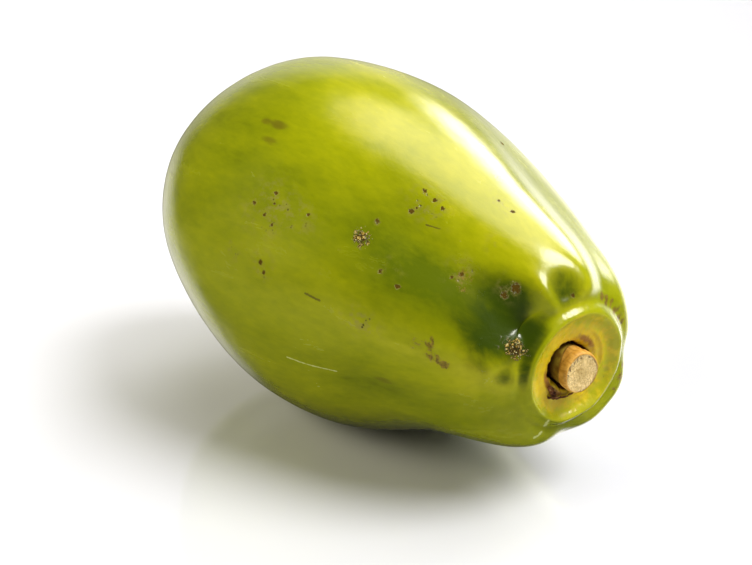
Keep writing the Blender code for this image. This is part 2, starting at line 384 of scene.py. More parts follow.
# Marks on the skin: place, angle, half length, half width in degrees, strength. On the body the place and the
# half length are axial, in metres; beside the ring they count control points, as for the solid's own forms
CORKY_SCARS = [(0.0527, 143.2, 0.0034, 3.2, 1.0)]
CORKY_NEAR_RING = [(9.20, 156.0, 0.85, 6.5, 1.0)]
SMEARS = [
    (0.0939, 168.5, 0.0022, 3.4, 0.75),
    (0.0955, 174.0, 0.0030, 2.6, 0.70),
    (0.1000, 175.5, 0.0034, 2.2, 0.90),
    (0.0890, 170.5, 0.0040, 3.0, 0.45),
    (0.0905, 134.0, 0.0042, 4.5, 0.50),
    (0.0930, 140.0, 0.0030, 3.0, 0.45),
]
SMEARS_NEAR_RING = [
    (9.55, 60.5, 0.42, 3.0, 1.0),
    (9.65, 54.5, 0.48, 2.4, 1.0),
    (9.60, 48.0, 0.36, 2.2, 0.9),
    (9.95, 41.0, 0.45, 2.8, 1.0),
    (9.55, 38.0, 0.36, 2.2, 0.9),
    (9.90, 31.0, 0.45, 2.8, 1.0),
    (9.70, 24.0, 0.36, 2.4, 0.9),
    (9.15, 332.5, 0.32, 3.4, 0.8),
    (9.02, 342.5, 0.26, 2.6, 0.7),
    (9.33, 323.0, 0.24, 2.2, 0.8),
]
SPECKLED = [
    (-0.030, 340.0, 0.016, 14.0, 0.7),
    (0.040, 300.0, 0.014, 11.0, 0.6),
    (-0.060, 80.0, 0.010, 16.0, 0.6),
    (0.000, 10.0, 0.012, 9.0, 0.7),
    (0.014, 150.0, 0.013, 9.0, 0.8),
    (0.026, 149.0, 0.010, 7.0, 0.6),
    (0.020, 167.0, 0.006, 5.0, 0.8),
    (0.004, 167.5, 0.005, 4.0, 0.7),
    (0.065, 171.0, 0.008, 5.0, 0.8),
    (0.065, 118.5, 0.009, 7.0, 0.7),
    (0.0895, 134.0, 0.006, 7.0, 0.8),
    (0.105, 127.0, 0.004, 6.0, 0.6),
    (0.083, 97.0, 0.007, 5.0, 0.5),
    (0.093, 114.6, 0.004, 4.0, 0.5),
    (0.068, 147.0, 0.005, 4.0, 0.5),
    (0.030, 20.0, 0.015, 12.0, 0.6),
    (0.080, 330.0, 0.012, 10.0, 0.6),
    (-0.040, 60.0, 0.012, 12.0, 0.6),
    (0.118, 335.0, 0.006, 9.0, 0.8),
]
BRUISED = [
    (-0.0088, 125.2, 0.0070, 2.6, 1.0),
    (-0.0150, 125.6, 0.0050, 2.6, 0.9),
    (-0.0070, 131.0, 0.0070, 2.2, 0.75),
    (0.0711, 197.7, 0.0060, 4.0, 0.6),
    (0.0900, 30.0, 0.0060, 5.0, 0.6),
    (-0.0300, 0.0, 0.0070, 5.0, 0.6),
]
# Dark green hollows beside the ring: partly their own darker green, partly painted shade in the hollows
HOLLOWS_GREEN_AND_SHADE = [
    (8.40, 149.0, 1.60, 22.0, 1.0),
    (9.75, 145.0, 1.00, 26.0, 0.85),
    (10.30, 158.0, 0.80, 36.0, 0.75),
    (7.80, 132.0, 1.00, 16.0, 0.85),
    (7.90, 166.0, 0.70, 12.0, 0.50),
    (8.90, 101.0, 1.15, 14.0, 0.66),
    (8.80, 176.0, 0.55, 9.0, 0.60),
    (9.20, 178.0, 0.40, 8.0, 0.35),
]
# Broad lighter and darker parts of the skin, some of them painted light and shade: axial place, angle, half
# length, half width, amount
TONES = [
    (-0.040, 122.0, 0.050, 35.0, -0.16),
    (0.010, 146.0, 0.050, 22.0, -0.15),
    (0.010, 0.0, 0.080, 60.0, -0.14),
    # Painted light: the top of the fruit is lighter
    (0.012, 92.0, 0.062, 24.0, 0.20),
    # Partly the big hollow's darker green, partly painted shade in the hollow
    (0.084, 148.0, 0.032, 17.0, -0.50),
    (0.040, 182.0, 0.045, 26.0, -0.12),
    (0.042, 134.0, 0.022, 14.0, 0.14),
    # These two darken the underside and the low side: mostly painted shade, partly the greener skin there
    (0.080, 248.0, 0.055, 28.0, -0.34),
    (0.098, 224.0, 0.024, 18.0, -0.16),
    (0.062, 122.0, 0.018, 16.0, -0.13),
]
# Small dark dots: axial place, angle and radius
DOTS = [
    (0.0058, 150.5, 0.0010),
    (0.0128, 144.5, 0.0009),
    (0.0146, 147.8, 0.0005),
    (0.0128, 152.5, 0.0006),
    (0.0181, 154.0, 0.0006),
    (0.0189, 166.5, 0.0009),
    (0.0215, 169.0, 0.0007),
    (0.0302, 145.5, 0.0006),
    (0.0540, 135.0, 0.0010),
    (0.0602, 115.5, 0.0009),
    (0.0654, 116.2, 0.0008),
    (0.0617, 124.5, 0.0009),
    (0.0624, 122.3, 0.0005),
    (0.0697, 116.5, 0.0007),
    (0.0654, 150.5, 0.0008),
    (0.0738, 152.5, 0.0008),
    (0.0902, 134.3, 0.0009),
    (0.0880, 138.0, 0.0006),
    (0.0803, 97.8, 0.0006),
    (0.0869, 97.1, 0.0008),
    (0.1087, 123.7, 0.0016),
    (0.1072, 130.0, 0.0012),
    (0.1192, 96.0, 0.0007),
    (0.0440, 60.0, 0.0010),
    (0.0120, 18.0, 0.0009),
    (-0.0350, 345.0, 0.0011),
    (0.0600, 350.0, 0.0008),
    (0.0380, 303.0, 0.0009),
    (-0.0200, 220.0, 0.0010),
]
# Fine lines between two points, each an axial place and an angle, with the line's half width
PALE_LINES = [
    ((0.0309, 198.9), (0.0386, 199.4), 0.00035),
    ((0.0386, 199.4), (0.0528, 199.2), 0.00030),
    ((0.1228, 239.5), (0.1202, 246.0), 0.00075),
    ((0.1193, 244.0), (0.1186, 240.5), 0.00060),
]
DARK_LINES = [
    ((0.0416, 169.2), (0.0480, 169.5), 0.00045),
    ((0.0690, 125.5), (0.0740, 123.5), 0.00030),
]
REGION_STEEPNESS = 1.3
# Sides of the ring: centre angle, half width and strength
GREEN_SIDE = (220.0, 32.0, 0.92)
STAIN_ALL_ROUND = 0.35
STAINED_SIDES = [(225.0, 40.0, 0.65), (60.0, 45.0, 0.45)]
FLESH_SIDES = [(226.0, 30.0, 0.8), (52.0, 36.0, 0.6)]
FLESH_SHIFT = 1.4
# The skin's tone without its darker and lighter parts, and how much the lobes change it
TONE_LEVEL = 0.46
TONE_OF_LOBES = 0.13

# Noises: waves per metre, detail, roughness, stretch, shift and distortion
CLOUD = (11.0, 3.0, 0.5, 0.7, 14.0, 0.6)
BLOTCH = (34.0, 5.0, 0.60, 0.5, 0.0, 0.5)
STREAK = (95.0, 6.0, 0.66, 0.25, 3.0, 0.5)
GRAIN = (420.0, 3.0, 0.6, 0.35, 8.0)
FLECK = (330.0, 4.0, 0.65, 0.8, 20.0)
ROUGH = (560.0, 4.0, 0.7, 1.0, 30.0)
FINE = (1500.0, 3.0, 0.6, 1.0, 40.0)
DISH_PATCH = (190.0, 4.0, 0.6, 1.0, 12.0)
BARK_FIBRE = (900.0, 4.0, 0.6, 0.16, 2.0)
BARK_PATCH = (260.0, 4.0, 0.6, 1.0, 6.0)
CUT_FIBRE = (520.0, 2.5, 0.55, 0.7, 11.0, 1.8)
CUT_VEIN = (330.0, 2.0, 0.5, 0.7, 17.0, 2.2)
SPLINTER_FIBRE = (1400.0, 3.0, 0.6, 0.3, 5.0)
CALYX_MOTTLE = (700.0, 4.0, 0.65, 1.0, 9.0)
CLOUD_AMOUNT = 0.75
BLOTCH_AMOUNT = 0.45
STREAK_AMOUNT = 0.42
GRAIN_AMOUNT = 0.25
PIN_CELLS = 520.0
CRACK_CELLS = 620.0
PORE_CELLS = 1100.0

# Colours, in linear red, green and blue
DEEP_GREEN = (0.095, 0.130, 0.0008)
LEAF_GREEN = (0.290, 0.315, 0.0006)
PALE_GREEN = (0.570, 0.530, 0.0080)
# The hollows' darker green, with painted shade in it
HOLLOW_GREEN_AND_SHADE = (0.036, 0.062, 0.0004)
DISH_GREEN = (0.450, 0.440, 0.0080)
DISH_TAN = (0.640, 0.460, 0.0080)
DISH_PALE = (0.660, 0.580, 0.0200)
DISH_STAIN = (0.300, 0.135, 0.0200)
# Brown of the hole's wall, darkened further as painted shade
HOLE_BROWN_AND_SHADE = (0.085, 0.022, 0.0040)
SPECKLE_TAN = (0.250, 0.210, 0.0600)
PIN_DARK = (0.060, 0.055, 0.0080)
BRUISE_BROWN = (0.120, 0.105, 0.0050)
SMEAR_DARK = (0.090, 0.048, 0.0035)
SMEAR_TAN = (0.260, 0.160, 0.0160)
CORK_DARK = (0.075, 0.040, 0.0050)
CORK_TAN = (0.420, 0.290, 0.0550)
CORK_FLAKE = (0.740, 0.680, 0.3600)
CORK_CRACK = (0.030, 0.020, 0.0060)
HALO_TAN = (0.330, 0.270, 0.0500)
DOT_BROWN = (0.085, 0.050, 0.0030)
LINE_PALE = (0.620, 0.640, 0.2400)
LINE_DARK = (0.090, 0.075, 0.0100)
TIP_DARK = (0.070, 0.040, 0.0100)
TIP_TAN = (0.300, 0.200, 0.0500)
BARK_ORANGE = (0.560, 0.260, 0.0300)
BARK_LIGHT = (0.760, 0.420, 0.0750)
BARK_BROWN = (0.400, 0.190, 0.0220)
COLLAR_DARK = (0.230, 0.120, 0.0090)
COLLAR_LIGHT = (0.430, 0.300, 0.0280)
# Painted shade on the collar, deep in the hole
COLLAR_PAINTED_SHADE = (0.085, 0.030, 0.0030)
GROOVE_BROWN = (0.130, 0.055, 0.0060)
CUT_TAN = (0.640, 0.450, 0.1650)
CUT_CREAM = (0.830, 0.640, 0.3000)
CUT_VEIN_BROWN = (0.300, 0.190, 0.0700)
CUT_PATCH_BROWN = (0.400, 0.260, 0.0750)
CUT_PITH = (0.480, 0.330, 0.1100)
CUT_PORE = (0.080, 0.045, 0.0150)
SPLINTER_DARK = (0.060, 0.030, 0.0100)
SPLINTER_TAN = (0.300, 0.180, 0.0600)
CALYX_DARK = (0.040, 0.010, 0.0030)
CALYX_BROWN = (0.190, 0.060, 0.0120)
CALYX_LIGHT = (0.520, 0.300, 0.0900)


def region_values(position, angle, regions):
    values = np.zeros_like(position)
    for centre, centre_angle, half_length, half_width, strength in regions:
        region = (centre, centre_angle, strength, half_length, half_width)
        values = np.maximum(values, bump(position, angle, region, REGION_STEEPNESS))
    return values


def place_of(axial):
    """The place on the outline, outside the ring, where the round outline reaches an axial place."""
    places = np.linspace(0.0, CREST, 2000)
    return float(np.interp(axial, outline_point(places)[0], places))


def mark_point(axial, angle):
    point, _ = skin_points(np.array([place_of(axial)]), np.array([float(angle)]))
    return tuple(float(value) for value in point[0])


def dot_distance(nodes):
    """Distance to the nearest dot, counted in that dot's radius."""
    nearest = None
    for axial, angle, radius in DOTS:
        away = nodes.vector("DISTANCE", nodes.coordinates, mark_point(axial, angle))
        near = nodes.math("DIVIDE", away, radius)
        nearest = near if nearest is None else nodes.math("MINIMUM", nearest, near)
    return nearest


def line_share(nodes, lines, uneven):
    """1 on the fine lines and 0 away from them."""
    nearest = None
    for start, end, half_width in lines:
        first = Vector(mark_point(*start))
        run = Vector(mark_point(*end)) - first
        rest = nodes.vector("SUBTRACT", nodes.coordinates, tuple(first))
        ahead = nodes.vector("DOT_PRODUCT", rest, tuple(run))
        along = nodes.math("MULTIPLY", ahead, 1.0 / run.length_squared, clamp=True)
        foot = nodes.tree.nodes.new("ShaderNodeVectorMath")
        foot.operation = "SCALE"
        foot.inputs[0].default_value = tuple(run)
        nodes.link(along, foot.inputs["Scale"])
        away = nodes.math("DIVIDE", nodes.vector("DISTANCE", rest, foot.outputs[0]), half_width)
        nearest = away if nearest is None else nodes.math("MINIMUM", nearest, away)
    return nodes.ramp(nodes.math("ADD", nearest, uneven), 1.2, 0.5)


def dish_colour(nodes, patch):
    """Inside the ring: yellow-green outside, tan and brown towards the hole."""
    inner = nodes.add(nodes.value("inward"), nodes.sway(patch, 1.8))
    colour = nodes.mix(nodes.ramp(inner, 0.10, 0.65), DISH_GREEN, DISH_TAN)
    colour = nodes.mix(nodes.ramp(patch, 0.52, 0.68, 0.0, 0.6), colour, DISH_PALE)
    stain = nodes.add(nodes.value("lip"), nodes.sway(patch, 1.6))
    return nodes.mix(nodes.ramp(stain, 0.30, 0.85), colour, DISH_STAIN)


def cork_colour(nodes, rough, fine, cracks):
    """Tan skin broken by dark cracks, with light flakes."""
    colour = nodes.mix(nodes.ramp(rough, 0.44, 0.58), CORK_DARK, CORK_TAN)
    colour = nodes.mix(nodes.ramp(fine, 0.58, 0.64), colour, CORK_FLAKE)
    return nodes.mix(nodes.times(cracks, 0.9), colour, CORK_CRACK)


def skin_material():
    nodes = Wiring("papaya_skin")
    cloud, blotch, streak, grain = (nodes.noise(*form) for form in (CLOUD, BLOTCH, STREAK, GRAIN))
    fleck, rough, fine, patch = (nodes.noise(*form) for form in (FLECK, ROUGH, FINE, DISH_PATCH))
    tone = nodes.add(nodes.value("tone"), nodes.sway(cloud, CLOUD_AMOUNT), nodes.sway(blotch, BLOTCH_AMOUNT))
    tone = nodes.add(tone, nodes.sway(streak, STREAK_AMOUNT), nodes.sway(grain, GRAIN_AMOUNT))
    colour = nodes.mix(nodes.ramp(tone, 0.0, 0.5, straight=True), DEEP_GREEN, LEAF_GREEN)
    colour = nodes.mix(nodes.ramp(tone, 0.5, 1.0, straight=True), colour, PALE_GREEN)
    # Painted shade in the hollows beside the ring, over their own darker green
    hollow_green_and_shade = nodes.ramp(nodes.add(nodes.value("hollow_green_and_shade"), nodes.sway(streak, 0.8)), 0.15, 0.80)
    colour = nodes.mix(hollow_green_and_shade, colour, HOLLOW_GREEN_AND_SHADE)
    colour = nodes.mix(nodes.value("dish"), colour, dish_colour(nodes, patch))
    # The hole's brown wall, darkened further as painted shade
    colour = nodes.mix(nodes.value("hole"), colour, HOLE_BROWN_AND_SHADE)
    # Faint tan speckle, with small dark pins in it
    speckled = nodes.times(nodes.value("speckled"), nodes.ramp(fleck, 0.46, 0.66))
    colour = nodes.mix(nodes.times(speckled, 0.7), colour, SPECKLE_TAN)
    pin = nodes.ramp(nodes.cells(PIN_CELLS), 0.30, 0.16)
    pin = nodes.times(pin, nodes.ramp(nodes.value("speckled"), 0.30, 0.70))
    pin = nodes.times(pin, nodes.ramp(fleck, 0.50, 0.60))
    colour = nodes.mix(pin, colour, PIN_DARK)
    # Soft bruises with broken edges, and brown smears
    broken = nodes.ramp(nodes.add(nodes.value("bruised"), nodes.sway(streak, 2.2)), 0.35, 0.75)
    bruise = nodes.times(nodes.value("bruised"), broken)
    colour = nodes.mix(nodes.times(bruise, 0.9), colour, BRUISE_BROWN)
    smear = nodes.ramp(nodes.add(nodes.value("smear"), nodes.sway(rough, 2.4)), 0.32, 0.74)
    smear = nodes.times(smear, nodes.ramp(nodes.value("smear"), 0.04, 0.25))
    smear_colour = nodes.mix(nodes.ramp(fine, 0.4, 0.6), SMEAR_DARK, SMEAR_TAN)
    colour = nodes.mix(nodes.times(smear, 0.85), colour, smear_colour)
    # Corky scars
    torn = nodes.add(nodes.value("corky"), nodes.sway(rough, 3.4), nodes.sway(fine, 1.0))
    corky = nodes.times(nodes.ramp(torn, 0.42, 0.60), nodes.ramp(nodes.value("corky"), 0.06, 0.30))
    crack_edge = nodes.cells(CRACK_CELLS, "DISTANCE_TO_EDGE")
    cracks = nodes.ramp(nodes.add(crack_edge, nodes.sway(fine, 0.3)), 0.14, 0.04)
    colour = nodes.mix(corky, colour, cork_colour(nodes, rough, fine, cracks))
    # Dots and lines at their own places, and the scar at the blossom end
    uneven = nodes.add(nodes.sway(rough, 2.6), nodes.sway(fine, 1.8))
    dots = dot_distance(nodes)
    dot = nodes.times(nodes.ramp(nodes.add(dots, uneven), 1.15, 0.75), nodes.ramp(dots, 2.0, 1.4))
    halo = nodes.ramp(nodes.add(dots, uneven), 1.8, 0.9, 0.0, 0.30)
    colour = nodes.mix(halo, colour, HALO_TAN)
    colour = nodes.mix(dot, colour, DOT_BROWN)
    colour = nodes.mix(nodes.times(line_share(nodes, PALE_LINES, uneven), 0.80), colour, LINE_PALE)
    colour = nodes.mix(nodes.times(line_share(nodes, DARK_LINES, uneven), 0.85), colour, LINE_DARK)
    ragged_tip = nodes.add(nodes.value("tip"), nodes.sway(rough, 1.6), nodes.sway(streak, 1.4))
    tip = nodes.ramp(ragged_tip, 0.35, 0.85)
    colour = nodes.mix(tip, colour, nodes.mix(nodes.ramp(fine, 0.40, 0.60), TIP_DARK, TIP_TAN))
    nodes.link(colour, nodes.shader.inputs["Base Color"])
    # Dry parts are matt, and the rest is glossy under a coat
    dry = nodes.math("MAXIMUM", corky, tip)
    dry = nodes.math("MAXIMUM", dry, nodes.math("MAXIMUM", dot, nodes.value("hole")))
    waxy = nodes.ramp(streak, 0.3, 0.7, 0.18, 0.28)
    roughness = nodes.add(waxy, nodes.times(nodes.value("dish"), 0.08), nodes.times(smear, 0.15))
    nodes.link(nodes.math("MAXIMUM", roughness, nodes.times(dry, 0.85)), nodes.shader.inputs["Roughness"])
    nodes.link(nodes.ramp(dry, 0.0, 1.0, 0.60, 0.0), nodes.shader.inputs["Coat Weight"])
    nodes.shader.inputs["Coat Roughness"].default_value = 0.10
    nodes.link(nodes.ramp(dry, 0.0, 1.0, 0.45, 0.12), nodes.shader.inputs["Specular IOR Level"])
    # Fine relief: pores, streaks, cork, sunken dots and the dish
    cork_relief = nodes.times(corky, nodes.math("SUBTRACT", rough, nodes.times(cracks, 0.6)))
    around_dots = nodes.math("SUBTRACT", 1.0, nodes.math("MAXIMUM", dot, nodes.times(pin, 0.6)))
    normal = nodes.bump(fine, 0.00005, 0.5)
    normal = nodes.bump(streak, 0.00030, 0.6, normal)
    normal = nodes.bump(cork_relief, 0.0008, 1.0, normal)
    normal = nodes.bump(around_dots, 0.0004, 0.7, normal)
    normal = nodes.bump(nodes.times(nodes.value("dish"), patch), 0.0005, 0.8, normal)
    nodes.link(normal, nodes.shader.inputs["Normal"])
    nodes.link(normal, nodes.shader.inputs["Coat Normal"])
    return nodes.material


def side_share(angle, side):
    centre, half_width, strength = side
    return strength * hill(angle_between(angle, centre), 0.0, half_width)


def both_regions(place, axial, angle, on_body, near_ring):
    """The stronger of the marks on the body and those beside the ring."""
    return np.maximum(region_values(axial, angle, on_body), region_values(place, angle, near_ring))


def skin_values(place, axial, angle):
    """The numbers at each vertex that the skin's material reads."""
    outside = 1.0 - smooth_step(RING_SPAN - 0.2, RING_SPAN + 0.4, place)
    wave = lobe_wave(angle) * smooth_step(-0.03, 0.06, axial) * outside
    tone = TONE_LEVEL + TONE_OF_LOBES * wave
    for centre, centre_angle, half_length, half_width, amount in TONES:
        tone = tone + bump(axial, angle, (centre, centre_angle, amount, half_length, half_width))
    outside_crest = 1.0 - smooth_step(CREST - 0.5, CREST, place)
    outer_dish = 1.0 - smooth_step(CREST + 0.4, CREST + 1.5, place)
    green_side = side_share(angle, GREEN_SIDE) * outer_dish
    stained = STAIN_ALL_ROUND + sum(side_share(angle, side) for side in STAINED_SIDES)
    flesh = sum(side_share(angle, side) for side in FLESH_SIDES)
    return {
        "tone": tone,
        # Darker green and painted shade of the hollows beside the ring
        "hollow_green_and_shade": region_values(place, angle, HOLLOWS_GREEN_AND_SHADE) * outside_crest,
        "dish": smooth_step(CREST - 0.15, CREST + 0.35, place) * (1.0 - green_side),
        "inward": (place - CREST) / (HOLE_SPAN + 1.0 - CREST),
        "lip": hill(place, HOLE_SPAN + 0.55, 0.55) * stained,
        # The hole's brown wall, with painted shade
        "hole": smooth_step(HOLE_SPAN + 0.60, HOLE_SPAN + 1.00, place - FLESH_SHIFT * flesh),
        "corky": both_regions(place, axial, angle, CORKY_SCARS, CORKY_NEAR_RING),
        "smear": both_regions(place, axial, angle, SMEARS, SMEARS_NEAR_RING),
        "speckled": region_values(axial, angle, SPECKLED),
        "bruised": region_values(axial, angle, BRUISED),
        "tip": np.where(axial < 0.0, hill(place, 0.0, 0.32), 0.0),
    }


def make_skin():
    body = np.linspace(0.0, SHOULDER_SPAN, SKIN_ROWS_BODY + 1)
    end = np.linspace(SHOULDER_SPAN, SPANS, SKIN_ROWS_END + 1)[1:]
    rows = np.concatenate([body, end])
    columns = np.arange(SKIN_COLUMNS) * 360.0 / SKIN_COLUMNS
    place = np.concatenate([[0.0], np.repeat(rows[1:-1], SKIN_COLUMNS), [float(SPANS)]])
    angle = np.concatenate([[0.0], np.tile(columns, len(rows) - 2), [0.0]])
    points, axial = skin_points(place, angle)
    points[:, 2] = np.maximum(points[:, 2], 0.0)
    skin = add_piece("papaya_skin", points, net_faces(len(rows), SKIN_COLUMNS), skin_material())
    for name, values in skin_values(place, axial, angle).items():
        add_values(skin, name, values)
    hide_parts("fruit_body")


# The stem stub, with its radius at each height over the toe
STEM_COLUMNS = 120
STEM_SIDE_ROWS = 66
STEM_FACE_ROWS = 43
STEM_TOE_ROWS = 4
STEM_RADII = [
    (0.0, 0.0034),
    (0.0022, 0.0064),
    (0.0067, 0.0074),
    (0.0107, 0.0075),
    (0.0130, 0.0075),
    (0.0140, 0.0079),
    (0.0162, 0.0080),
    (0.0174, 0.0079),
    (0.0181, 0.0077),
    (0.0185, 0.0072),
]
STEM_LENGTH = STEM_CUT_AXIAL - STEM_TOE_AXIAL
BARK_RIDGES = (0.00010, 6.0, 60.0, 1.0)
BARK_SWELLS = (0.00028, 1.6, 40.0, 4.0)
COLLAR_HEIGHT = 0.0137
COLLAR_DIP = (85.0, 60.0, 0.0040)
GROOVE_DEPTH = 0.00025
GROOVE_HALF_HEIGHT = 0.00028
GROOVE_WAVES = (0.5, 2.0, 1.0, 6.0)
# The cut face
FACE_RADIUS = 0.0072
FACE_EDGE_WAVES = (0.03, 1.6, 1.0, 4.0)
FACE_FIBRES = (0.00012, 1300.0, 3.0)
FACE_LUMPS = (0.00020, 420.0, 8.0)
FACE_DROP = 0.0003
BOWL_DEPTH = 0.00030
PITH_RISE = 0.00018
PITH_RISE_RADIUS = 0.0016
PITH_RADIUS = 0.0030
TORN_ANGLE = 112.0
TORN_DEPTH = 0.0018
TORN_LENGTH = 0.0045


def stem_frame():
    tilt = Matrix.Rotation(math.radians(AXIS_TILT), 3, "Y")
    turn = (tilt @ Vector(STEM_DIRECTION)).to_track_quat("Z", "Y").to_matrix()
    toe = stand(np.array([[STEM_TOE_AXIAL, STEM_OFFSET[0], STEM_OFFSET[1]]]))[0]
    return np.array(turn), toe


def stem_material():
    nodes = Wiring("papaya_stem")
    fibre = nodes.noise(*BARK_FIBRE)
    patch = nodes.noise(*BARK_PATCH)
    bark = nodes.mix(nodes.ramp(fibre, 0.35, 0.65), BARK_ORANGE, BARK_LIGHT)
    bark = nodes.mix(nodes.ramp(patch, 0.55, 0.75, 0.0, 0.6), bark, BARK_BROWN)
    collar = nodes.mix(nodes.ramp(patch, 0.40, 0.62), COLLAR_DARK, COLLAR_LIGHT)
    # Painted shade: the collar darkens the deeper it sits in the hole
    collar = nodes.mix(nodes.value("collar_shade"), collar, COLLAR_PAINTED_SHADE)
    bark = nodes.mix(nodes.value("collar"), bark, collar)
    groove = nodes.times(nodes.value("groove"), nodes.ramp(patch, 0.40, 0.60, 0.25, 0.85))
    bark = nodes.mix(groove, bark, GROOVE_BROWN)
    # The cut face: cream fibres with brown veins, patches and pores, darker towards the pith
    cut_fibre = nodes.noise(*CUT_FIBRE)
    face = nodes.mix(nodes.ramp(cut_fibre, 0.36, 0.62), CUT_TAN, CUT_CREAM)
    vein = nodes.math("ABSOLUTE", nodes.math("SUBTRACT", nodes.noise(*CUT_VEIN), 0.5))
    face = nodes.mix(nodes.ramp(vein, 0.035, 0.0, 0.0, 0.7), face, CUT_VEIN_BROWN)
    face = nodes.mix(nodes.ramp(patch, 0.52, 0.70, 0.0, 0.75), face, CUT_PATCH_BROWN)
    face = nodes.mix(nodes.times(nodes.value("pith"), 0.7), face, CUT_PITH)
    pore = nodes.times(nodes.ramp(nodes.cells(PORE_CELLS), 0.22, 0.10), nodes.ramp(patch, 0.56, 0.66))
    face = nodes.mix(pore, face, CUT_PORE)
    nodes.link(nodes.mix(nodes.value("face"), bark, face), nodes.shader.inputs["Base Color"])
    nodes.link(nodes.ramp(nodes.value("face"), 0.0, 1.0, 0.52, 0.85), nodes.shader.inputs["Roughness"])
    nodes.shader.inputs["Specular IOR Level"].default_value = 0.35
    normal = nodes.bump(fibre, 0.0002, 0.5)
    normal = nodes.bump(nodes.times(nodes.value("face"), cut_fibre), 0.0006, 0.9, normal)
    nodes.link(normal, nodes.shader.inputs["Normal"])
    return nodes.material


def round_points(radius, angle, height):
    turn = np.radians(angle)
    return np.stack([radius * np.cos(turn), radius * np.sin(turn), height], -1)


def make_stem():
    turn, toe = stem_frame()
    side_heights = np.linspace(0.0, STEM_LENGTH, STEM_SIDE_ROWS)
    known = np.array(STEM_RADII)
    side_radii = np.interp(side_heights, known[:, 0], known[:, 1])
    toe_shares = np.linspace(0.0, 1.0, STEM_TOE_ROWS + 2)[1:-1]
    face_shares = np.linspace(1.0, 0.0, STEM_FACE_ROWS + 2)[1:-1]
    row_heights = np.concatenate([toe_shares * 0.0, side_heights, np.full(STEM_FACE_ROWS, STEM_LENGTH)])
    row_radii = np.concatenate([toe_shares * side_radii[0], side_radii, face_shares * side_radii[-1]])
    row_on_face = np.concatenate([np.zeros(STEM_TOE_ROWS + STEM_SIDE_ROWS), np.ones(STEM_FACE_ROWS)])
    rows = len(row_heights) + 2
    columns = np.arange(STEM_COLUMNS) * 360.0 / STEM_COLUMNS
    height = np.concatenate([[0.0], np.repeat(row_heights, STEM_COLUMNS), [STEM_LENGTH]])
    radius = np.concatenate([[0.0], np.repeat(row_radii, STEM_COLUMNS), [0.0]])
    face = np.concatenate([[0.0], np.repeat(row_on_face, STEM_COLUMNS), [1.0]])
    angle = np.concatenate([[0.0], np.tile(columns, rows - 2), [0.0]])
    on_face = face > 0.5
    # Ridges along the bark, and the groove over the collar
    ridges = waves_round(angle, height, BARK_RIDGES) + waves_round(angle, height, BARK_SWELLS)
    collar_height = COLLAR_HEIGHT - side_share(angle, COLLAR_DIP)
    groove = hill(height, collar_height, GROOVE_HALF_HEIGHT)
    groove = groove * (0.5 + waves_round(angle, height, GROOVE_WAVES))
    uneven_face = radius * (1.0 + waves_round(angle, height * 0.0, FACE_EDGE_WAVES))
    radius = np.where(on_face, uneven_face, radius + ridges - GROOVE_DEPTH * groove)
    radius = np.maximum(radius, 0.0)
    radius[[0, -1]] = 0.0
    # Torn fibres on the cut face
    flat = round_points(radius, angle, height)
    fibres = dents(flat, FACE_FIBRES) + dents(flat, FACE_LUMPS)
    bowl = PITH_RISE * hill(radius, 0.0, PITH_RISE_RADIUS) - BOWL_DEPTH * (1.0 - (radius / FACE_RADIUS) ** 2)
    height = height + np.where(on_face, fibres + bowl - FACE_DROP, 0.0)
    # The cut slants back towards the upper left edge, where the fibres tore
    slant = 0.5 + 0.5 * radius / FACE_RADIUS * np.cos(np.radians(angle - TORN_ANGLE))
    side_height = np.where(on_face, STEM_LENGTH, height)
    near_cut = smooth_step(STEM_LENGTH - TORN_LENGTH, STEM_LENGTH, side_height)
    height = height - TORN_DEPTH * slant ** 2 * near_cut
    points = round_points(radius, angle, height) @ turn.T + toe
    stem = add_piece("papaya_stem", points, net_faces(rows, STEM_COLUMNS), stem_material())
    over_collar = height - collar_height
    add_values(stem, "face", face)
    add_values(stem, "pith", hill(radius, 0.0, PITH_RADIUS))
    add_values(stem, "collar", 1.0 - smooth_step(-0.0003, 0.0001, over_collar))
    # Painted shade: darker the deeper the collar goes into the hole
    add_values(stem, "collar_shade", 1.0 - smooth_step(-0.0052, -0.0014, over_collar))
    add_values(stem, "groove", hill(over_collar, 0.0, 0.00032) * (1.0 - face))
    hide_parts("stem_stub")


def splinter_material():
    nodes = Wiring("papaya_splinter")
    fibre = nodes.noise(*SPLINTER_FIBRE)
    colour = nodes.mix(nodes.ramp(fibre, 0.35, 0.65), SPLINTER_DARK, SPLINTER_TAN)
    nodes.link(colour, nodes.shader.inputs["Base Color"])
    nodes.shader.inputs["Roughness"].default_value = 0.8
    nodes.link(nodes.bump(fibre, 0.0003, 0.8), nodes.shader.inputs["Normal"])
    return nodes.material


# Splinters on the edge of the cut: angle on the face, radius, length, width and lean
SPLINTERS = [
    (150.0, 0.0066, 0.0017, 0.0006, 20.0),
    (128.0, 0.0064, 0.0013, 0.0005, -25.0),
    (112.0, 0.0067, 0.0019, 0.0005, 35.0),
    (96.0, 0.0063, 0.0011, 0.0006, -10.0),
    (170.0, 0.0067, 0.0010, 0.0004, 30.0),
    (60.0, 0.0066, 0.0009, 0.0004, 15.0),
]
SPLINTER_STEPS = 7
SPLINTER_DROP = 0.0006
SPLINTER_EDGE_DROP = 0.0012
SPLINTER_RISE = 0.0010
# A splinter's section, as shares of its half width across and up
SPLINTER_SECTION = ((-1.0, 0.0), (0.0, 0.8), (1.0, 0.0), (0.0, -0.8))


